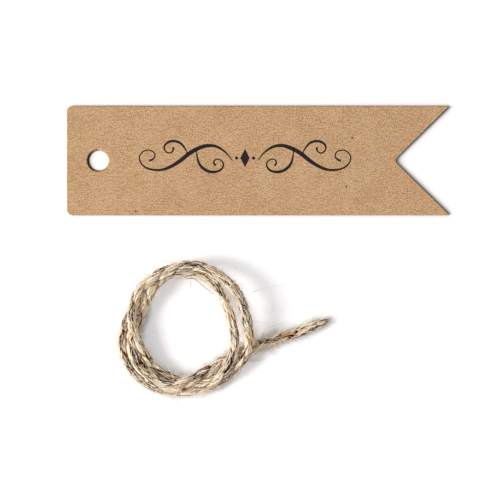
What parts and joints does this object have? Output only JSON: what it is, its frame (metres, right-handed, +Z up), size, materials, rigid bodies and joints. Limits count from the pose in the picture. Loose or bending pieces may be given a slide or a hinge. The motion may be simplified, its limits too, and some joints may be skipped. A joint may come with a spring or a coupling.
{
  "type": "gift tag",
  "caption": "Flat kraft card gift tag with a string hole at its square end and a swallowtail at the other, with a loose coil of jute twine to tie it on.",
  "frame": {"origin": "middle of the card's underside", "axes": "+X along the card to its swallowtail, +Y across the card away from the twine, +Z up out of the card's printed face"},
  "size_m": [0.0697, 0.0526, 0.0051],
  "materials": {
    "kraft_board": "uncoated kraft board, matt, with fine fibre grain",
    "jute_twine": "loosely laid natural jute, matt and hairy"
  },
  "bodies": {
    "card": {"tag_card": "kraft_board"},
    "twine": {"twine_coil": "jute_twine", "twine_tail": "jute_twine"}
  },
  "joints": [
    {"name": "twine_lift", "type": "slide", "parent": "card", "child": "twine", "axis": [0, 0, 1], "range_m": [0, 0.05]}
  ]
}
